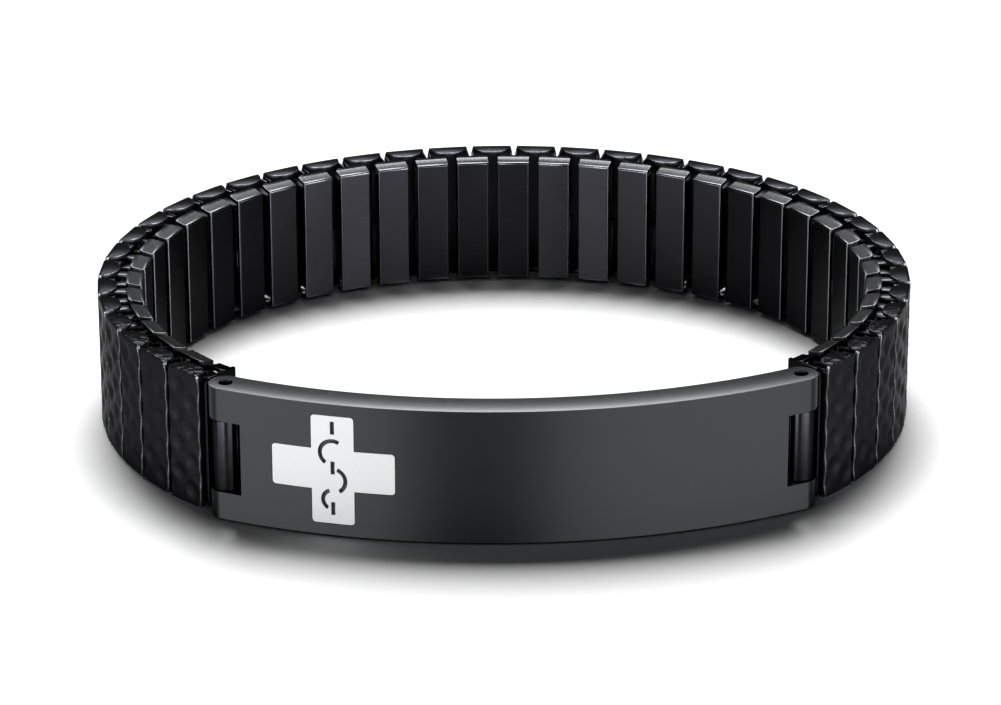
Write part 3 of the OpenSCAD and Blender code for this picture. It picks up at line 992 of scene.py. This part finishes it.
@dataclass
class Hinges:
    """The end links, whose sheet rolls round a pin, and the two pins."""

    plan: BandPlan
    pin_d: float = 1.0
    bore_d: float = 1.2
    barrel_d: float = 2.6
    barrel_low: float = 2.65
    barrel_high: float = 8.85
    pin_low: float = 0.55
    wall_inset: float = 0.35
    wall_corner: float = 0.6
    wall_low: float = 0.15
    lip_turn: float = 85.0
    lid_len: float = 1.4
    lid_low: float = 11.1
    lid_play: float = 0.12
    lid_round: float = 0.05
    wall_round: float = 0.03
    barrel_round: float = 0.06
    pin_round: float = 0.12
    lip_w: float = 0.1
    lip_depth: float = 0.12
    bore_play: float = 0.05
    finish: BlackSteel = BrushedBlackSteel(
        "Turned and polished black-plated steel", "#1D1D20", 0.3, 0.02, 5.0, grit_height_mm=0.0003,
        top_roughness=0.2, edge_tint=0.4, worn_and_highlight_hex="#3A3B3E")

    def build(self) -> None:
        """Models the link once and sets it at both ends, the other way round at the left."""
        plan = self.plan
        material = self.finish.make()
        for side, name in ((-1, "left"), (1, "right")):
            link = self.link(side)
            fit_out(set_at(link, f"rolled_end_link_{name}", plan.on_band(side * plan.band_len)), material,
                    "hinge_steel", f"end_link_{name}")
            bpy.data.objects.remove(link)
            pin = start_cylinder(f"turned_pin_{name}",
                                 (side * plan.pin_spacing / 2, plan.pin_y + plan.shift_y, plan.band_h / 2),
                                 self.pin_d / 2, plan.band_h - 2 * self.pin_low, 32)
            edit(pin, Part.FACES)
            pick(pin, Part.FACES, lambda f: abs(f.normal.z) > 0.9)
            for _ in range(2):
                bpy.ops.mesh.inset(thickness=self.pin_round * MM)
            bpy.ops.object.mode_set(mode="OBJECT")
            round_edges(pin, self.pin_round, 3)
            smooth(pin)
            lay_brushing(pin, Sleeve.brush_lines)
            fit_out(pin, material, "hinge_steel", f"hinge_pin_{name}")

    def link(self, side: int) -> bpy.types.Object:
        """Models an end link in the band's frame.

        Args:
            side: -1 for the link at the left, 1 for the one at the right.

        Returns:
            The link: a sleeve, its end wall, the tongue and the rolled barrel.
        """
        plan = self.plan
        sheet = plan.sheet_t
        width = plan.inner_w / 2 + plan.link_reach - sheet / 2
        sleeve = Sleeve(width, plan.inner_h, plan.inner_depth, TabShape.SQUARE, tab_rise=plan.tab_rise).build("sleeve")
        link = set_at(sleeve, "link", Matrix.Translation(mm(side * (width - plan.inner_w) / 2, -plan.outer_face,
                                                            plan.inner_inset)) @ Matrix.Rotation(math.pi, 4, "Z"))
        bpy.data.objects.remove(sleeve)
        combine(link, self.end_wall(side), "UNION")
        low, high = sorted((side * (plan.link_reach - self.lid_len), side * (plan.link_reach - sheet / 2)))
        for z in (self.lid_low, plan.band_h - self.lid_low - sheet):
            lid = start_cube("lid", (low, plan.inner_depth - plan.outer_face - sheet / 2, z),
                             (high, plan.outer_face - sheet - self.lid_play, z + sheet))
            round_edges(lid, self.lid_round, 2)
            combine(link, lid, "UNION")
        middle = (self.barrel_low + self.barrel_high) / 2
        low, high = sorted((side * (plan.link_reach - sheet / 2), side * plan.hinge_along))
        tongue = start_cube("tongue", (low, plan.hinge_out - self.barrel_d / 2 + self.bore_play, self.barrel_low),
                            (high, plan.hinge_out - self.bore_d / 2 - self.bore_play, self.barrel_high))
        barrel = start_cylinder("barrel", (side * plan.hinge_along, plan.hinge_out, middle),
                                self.barrel_d / 2, self.barrel_high - self.barrel_low, 64)
        round_edges(barrel, self.barrel_round, 2)
        combine(barrel, self.lip(side), "DIFFERENCE")
        combine(link, tongue, "UNION")
        combine(link, barrel, "UNION")
        bore = start_cylinder("bore", (side * plan.hinge_along, plan.hinge_out, middle),
                              self.bore_d / 2, 2 * plan.band_h, 32)
        combine(link, bore, "DIFFERENCE")
        smooth(link)
        lay_brushing(link, Sleeve.brush_lines)
        return link

    def end_wall(self, side: int) -> bpy.types.Object:
        """Models the wall that closes the band's end, with its two outer corners rounded."""
        plan = self.plan
        low, high = sorted((side * (plan.link_reach - plan.sheet_t), side * plan.link_reach))
        outer = plan.outer_face - self.wall_inset
        wall = start_cube("end_wall", (low, -plan.outer_face + 0.1, self.wall_low),
                          (high, outer, plan.band_h - self.wall_low))
        edit(wall, Part.EDGES)
        pick(wall, Part.EDGES, lambda e: all(v.co.y > (outer - 0.01) * MM for v in e.verts)
             and abs(e.verts[0].co.z - e.verts[1].co.z) < 1e-6)
        bpy.ops.mesh.bevel(offset=self.wall_corner * MM, segments=8, affect="EDGES")
        bpy.ops.object.mode_set(mode="OBJECT")
        round_edges(wall, self.wall_round, 2)
        return wall

    def lip(self, side: int) -> bpy.types.Object:
        """Models the fine groove along the barrel, where the end of the rolled sheet shows."""
        plan, half, radius = self.plan, self.lip_w / 2, self.barrel_d / 2
        lip = start_cube("lip", (-half, radius - self.lip_depth, self.barrel_low - 1),
                         (half, radius + 1, self.barrel_high + 1))
        settle(lip, Matrix.Translation(mm(side * plan.hinge_along, plan.hinge_out, 0))
               @ Matrix.Rotation(-side * math.radians(self.lip_turn), 4, "Z"))
        return lip


@dataclass
class IdPlate:
    """The curved plate, forked at both ends round the hinge barrels, with the emblem's recess."""

    plan: BandPlan
    inset: float = 0.15
    upper_fork_h: float = 2.9
    lower_fork_h: float = 2.4
    bore_d: float = 1.2
    notch_reach: float = 1.95
    tip_rounds: tuple[float, float, float] = (0.9, -0.5, 0.7)
    # Share of the lighter coat colour on the flat top and bottom, a painted highlight.
    top_painted_light: float = 0.22
    slices: int = 96
    end_sides: int = 64
    bore_sides: int = 48
    emblem_w: float = 10.4
    emblem_h: float = 9.6
    arm_w: float = 3.6
    emblem_spacing: float = 15.2
    recess_corner: float = 0.35
    recess: float = 0.4
    play: float = 0.05
    finish: BlackSteel = BrushedBlackSteel("Satin-brushed black-plated steel", "#2C2D2F", 0.47, 0.02, 9.0, swing=0.05,
                                           grit_height_mm=0.0003, top_roughness=0.16, line_mm=0.1,
                                           line_length_mm=12.0, crown_mm=0.22)

    def build(self) -> None:
        """Models the plate as a bent bar, forks its ends, rounds their tips and sinks the recess."""
        plan = self.plan
        low, high = self.inset, plan.band_h - self.inset
        plate = self.bent_bar("curved_id_plate", plan.plate_radius - plan.plate_t, plan.plate_radius, low, high,
                              -plan.pin_angle, plan.pin_angle, self.slices)
        pins = [(side * plan.pin_spacing / 2, plan.pin_y + plan.shift_y) for side in (-1, 1)]
        for pin in pins:
            end = start_cylinder("end", (*pin, plan.band_h / 2), plan.plate_t / 2, high - low, self.end_sides)
            combine(plate, end, "UNION")
        for side, pin in zip((-1, 1), pins):
            combine(plate, self.notch(side, pin), "DIFFERENCE")
            bore = start_cylinder("bore", (*pin, 0), self.bore_d / 2, 3 * plan.band_h, self.bore_sides)
            combine(plate, bore, "DIFFERENCE")
        levels = (low, low + self.lower_fork_h, high - self.upper_fork_h)
        for side, pin in zip((-1, 1), pins):
            for level, radius in zip(levels, self.tip_rounds):
                combine(plate, self.tip_cutter(side, pin, level, radius), "DIFFERENCE")
        combine(plate, self.emblem_room(), "DIFFERENCE")
        smooth(plate, 30)
        flatten_faces(plate)
        lay_brushing(plate, self.brush_lines)
        # The flat top and bottom are painted lighter, a painted highlight.
        mark_wear_and_painted_light(plate, lambda face: self.top_painted_light if abs(face.normal.z) > SQUARE_ON else 0.0)
        fit_out(plate, self.finish.make(), "plate_steel", "id_plate")

    @property
    def centre(self) -> Vector:
        """The place on the floor that the plate is bent round, in metres."""
        return mm(0, self.plan.plate_centre_y + self.plan.shift_y, 0)

    def tip_cutter(self, side: int, pin: tuple[float, float], level: float, radius: float) -> bpy.types.Object:
        """Models what is ground off a corner of a fork's tip, as it is seen from the front.

        Args:
            side: -1 for the left end, 1 for the right.
            pin: Place of the pin there, in millimetres.
            level: Height of the corner.
            radius: Radius of the rounding, negative where the fork lies below the corner.

        Returns:
            The solid to cut out: a block outside the rounding.
        """
        tip = self.plan.plate_t / 2
        size, rise = abs(radius), math.copysign(1.0, radius)
        inner, outer = sorted((side * (tip - size), side * (tip + 0.5)))
        low, high = sorted((level - 0.05 * rise, level + radius))
        block = start_cube("tip_cutter", (inner, -tip - 0.5, low), (outer, tip + 0.5, high))
        core = start_cylinder("core", (0, 0, 0), size, 2 * tip + 2, self.bore_sides)
        settle(core, Matrix.Translation(mm(side * (tip - size), 0, level + radius))
               @ Matrix.Rotation(math.pi / 2, 4, "X"))
        combine(block, core, "DIFFERENCE")
        settle(block, self.at_pin(side, pin))
        return block

    def at_pin(self, side: int, pin: tuple[float, float]) -> Matrix:
        """Gives the frame of a pin, whose X axis runs along the plate's end."""
        return Matrix.Translation(mm(*pin, 0)) @ Matrix.Rotation(side * self.plan.pin_angle, 4, "Z")

    def bent_bar(self, name: str, inner: float, outer: float, low: float, high: float,
                 start: float, end: float, steps: int) -> bpy.types.Object:
        """Spins an upright rectangle round the plate's centre of bend.

        Args:
            name: The object's name.
            inner: Smaller radius in millimetres.
            outer: Larger radius.
            low: Height of the lower edge.
            high: Height of the upper edge.
            start: Angle of the left end from the plate's middle, in radians.
            end: Angle of the right end.
            steps: How many slices the bar has.

        Returns:
            The closed bar, at its place in the loop.
        """
        bar = start_cube(name, (-0.5, -outer, low), (0.5, -inner, high))
        edit(bar, Part.FACES)
        pick(bar, Part.FACES, lambda f: f.normal.x < 0.9)
        bpy.ops.mesh.delete(type="ONLY_FACE")
        bpy.ops.mesh.select_mode(type="VERT")
        pick(bar, Part.VERTS, lambda v: v.co.x < 0)
        bpy.ops.mesh.delete(type="VERT")
        bpy.ops.mesh.select_all(action="SELECT")
        bpy.ops.transform.translate(value=mm(-0.5, 0, 0))
        bpy.ops.object.mode_set(mode="OBJECT")
        settle(bar, Matrix.Rotation(start, 4, "Z"))
        edit(bar, Part.FACES)
        bpy.ops.mesh.select_all(action="SELECT")
        bpy.ops.mesh.spin(steps=steps, angle=end - start, center=(0, 0, 0), axis=(0, 0, -1))
        bpy.ops.mesh.select_all(action="SELECT")
        bpy.ops.mesh.remove_doubles(threshold=WELD)
        bpy.ops.mesh.normals_make_consistent(inside=False)
        bpy.ops.object.mode_set(mode="OBJECT")
        settle(bar, Matrix.Translation(self.centre))
        return bar

    def notch(self, side: int, pin: tuple[float, float]) -> bpy.types.Object:
        """Models the room that a barrel takes out of the plate's end.

        Args:
            side: -1 for the left end, 1 for the right.
            pin: Place of the pin there, in millimetres.

        Returns:
            The solid to cut out.
        """
        plan = self.plan
        x_in, x_out = sorted((-side * self.notch_reach, side * plan.plate_t))
        notch = start_cube("notch", (x_in, -plan.plate_t, self.inset + self.lower_fork_h),
                           (x_out, plan.plate_t, plan.band_h - self.inset - self.upper_fork_h))
        settle(notch, self.at_pin(side, pin))
        return notch

    def emblem_room(self) -> bpy.types.Object:
        """Models the cross-shaped recess, whose floor follows the plate's bend."""
        plan = self.plan
        turn = self.emblem_spacing / plan.plate_radius
        room = self.bent_bar("room", plan.plate_radius - self.recess, plan.plate_radius + 1, 0, plan.band_h,
                             -turn - 0.12, -turn + 0.12, 24)
        cross = self.arm("cross", self.emblem_w, self.arm_w)
        combine(cross, self.arm("upright", self.arm_w, self.emblem_h), "UNION")
        settle(cross, Matrix.Translation(self.centre) @ Matrix.Rotation(-turn, 4, "Z")
               @ Matrix.Translation(mm(0, -plan.plate_radius, plan.band_h / 2)))
        combine(room, cross, "INTERSECT")
        return room

    def arm(self, name: str, width: float, height: float) -> bpy.types.Object:
        """Models a beam of the cross with rounded corners, with its play all round."""
        half_w, half_h = width / 2 + self.play, height / 2 + self.play
        beam = start_cube(name, (-half_w, -2, -half_h), (half_w, 2, half_h))
        edit(beam, Part.EDGES)
        pick(beam, Part.EDGES, lambda e: abs(e.verts[0].co.y - e.verts[1].co.y) > MM)
        bpy.ops.mesh.bevel(offset=self.recess_corner * MM, segments=6, affect="EDGES")
        bpy.ops.object.mode_set(mode="OBJECT")
        return beam

    def brush_lines(self, place: Vector, normal: Vector) -> tuple[float, float]:
        """Runs the lines along the plate on all its sides."""
        spoke = place.xy - self.centre.xy
        along = math.atan2(spoke.x, -spoke.y) * self.plan.plate_radius * MM
        return along, (spoke.length if abs(normal.z) > 0.7 else place.z)


@dataclass(frozen=True)
class Softbox:
    """A rectangular studio light, with the brightness that the eye sees on its face.

    Azimuth turns from the front of the plate to the right. Angles are in degrees, lengths in metres.
    A light that is kept off some pieces is light-linked away from them, where a photographer would set a card.
    """

    name: str
    azimuth: float
    elevation: float
    distance: float
    width: float
    height: float
    brightness: float
    kept_off: tuple[str, ...] = ()

    def build(self) -> None:
        """Hangs the light, turned to the middle of the bracelet."""
        data = bpy.data.lights.new(self.name, "AREA")
        data.shape = "RECTANGLE"
        data.size, data.size_y = self.width, self.height
        data.energy = self.brightness * math.pi * self.width * self.height
        lamp = bpy.data.objects.new(self.name, data)
        bpy.context.scene.collection.objects.link(lamp)
        turn, lift = math.radians(self.azimuth), math.radians(self.elevation)
        spoke = Vector((math.sin(turn) * math.cos(lift), -math.cos(turn) * math.cos(lift), math.sin(lift)))
        lamp.location = spoke * self.distance
        lamp.rotation_euler = spoke.to_track_quat("Z", "Y").to_euler()
        if self.kept_off:
            shaded = bpy.data.collections.new(f"kept out of {self.name}")
            for piece in self.kept_off:
                shaded.objects.link(bpy.data.objects[piece])
            for item in shaded.collection_objects:
                item.light_linking.link_state = "EXCLUDE"
            lamp.light_linking.receiver_collection = shaded


@dataclass
class Studio:
    """The pale floor, the softboxes round the bracelet, and the camera."""

    softboxes: tuple[Softbox, ...] = (
        Softbox("overhead", 180, 60, 0.60, 0.34, 0.36, 18.0),
        Softbox("back_wall", 180, 24, 0.90, 1.4, 0.50, 0.15),
        Softbox("low_right", 36, 6.5, 0.80, 0.87, 0.18, 23.0, ("floor",)),
        Softbox("low_left", -41, 6.5, 0.80, 0.70, 0.18, 24.5, ("floor",)),
        Softbox("high_right", 43.5, 24, 0.80, 0.30, 0.27, 36.0, ("floor", "curved_id_plate", "emblem")),
        Softbox("high_left", -25.5, 24, 0.80, 0.24, 0.27, 36.0, ("floor", "curved_id_plate", "emblem")),
    )
    surround: float = 0.02
    floor_size: float = 4.0
    fibre_mm: float = 0.8
    focal_px: float = 4618.287
    frame_px: float = 1001.0
    sensor_mm: float = 36.0
    distance: float = 399.343
    elevation: float = 22.993
    roll: float = -0.118
    yaw: float = -1.977
    target: Point = (-0.445, -4.912, 6.151)

    def build(self) -> None:
        """Sets up the whole studio."""
        self.build_floor()
        for softbox in self.softboxes:
            softbox.build()
        world = bpy.data.worlds.new("Grey studio")
        world.use_nodes = True
        world.node_tree.nodes["Background"].inputs["Color"].default_value = (*[self.surround] * 3, 1)
        bpy.context.scene.world = world
        bpy.context.scene.view_settings.view_transform = "Standard"
        self.build_camera()

    def build_floor(self) -> None:
        """Lays the floor, with edges far outside the view."""
        deselect()
        bpy.ops.mesh.primitive_plane_add(size=self.floor_size)
        floor = bpy.context.object
        floor.name = "floor"
        material, tree, shader = start_material("Matt white studio paper")
        place = add_node(tree, "ShaderNodeTexCoord")
        fibre = add_node(tree, "ShaderNodeTexNoise", inputs={
            "Vector": place.outputs["Object"], "Scale": per_mm(self.fibre_mm)})
        tint = add_node(tree, "ShaderNodeMix", {"data_type": "RGBA"}, {
            0: fibre.outputs["Fac"], 6: linear("#F4F4F4"), 7: linear("#F8F8F8")})
        tree.links.new(tint.outputs[2], shader.inputs["Base Color"])
        shader.inputs["Roughness"].default_value = 0.9
        shader.inputs["Specular IOR Level"].default_value = 0.1
        floor.data.materials.append(material)

    def build_camera(self) -> None:
        """Aims the camera as the photograph's was."""
        yaw, lift, roll = (math.radians(a) for a in (self.yaw, self.elevation, self.roll))
        back = Vector((math.sin(yaw) * math.cos(lift), -math.cos(yaw) * math.cos(lift), math.sin(lift)))
        right = (-back).cross(Vector((0, 0, 1))).normalized()
        up = right.cross(-back)
        right, up = (math.cos(roll) * right + math.sin(roll) * up, -math.sin(roll) * right + math.cos(roll) * up)
        data = bpy.data.cameras.new("photo_camera")
        data.sensor_fit = "HORIZONTAL"
        data.sensor_width = self.sensor_mm
        data.lens = self.focal_px * self.sensor_mm / self.frame_px
        data.clip_start, data.clip_end = 0.01, 10
        camera = bpy.data.objects.new("photo_camera", data)
        bpy.context.scene.collection.objects.link(camera)
        place = mm(*self.target) + back * self.distance * MM
        axes = Matrix((right, up, back)).transposed()
        camera.matrix_world = Matrix.Translation(place) @ axes.to_4x4()
        bpy.context.scene.camera = camera


def main() -> None:
    """Builds the studio and every piece."""
    logging.basicConfig(level=logging.INFO, format="%(message)s")
    plan = BandPlan()
    LOG.info("sides bent to %.3f mm, pins at y %.3f mm", plan.side_radius, plan.pin_y + plan.shift_y)
    OuterRow(plan).build()
    InnerRow(plan).build()
    Staples(plan).build()
    Hinges(plan).build()
    IdPlate(plan).build()
    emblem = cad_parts["emblem"]
    emblem.data.materials.clear()
    emblem.data.materials.append(BareSteel().make())
    Studio().build()


if __name__ == "__main__":
    main()
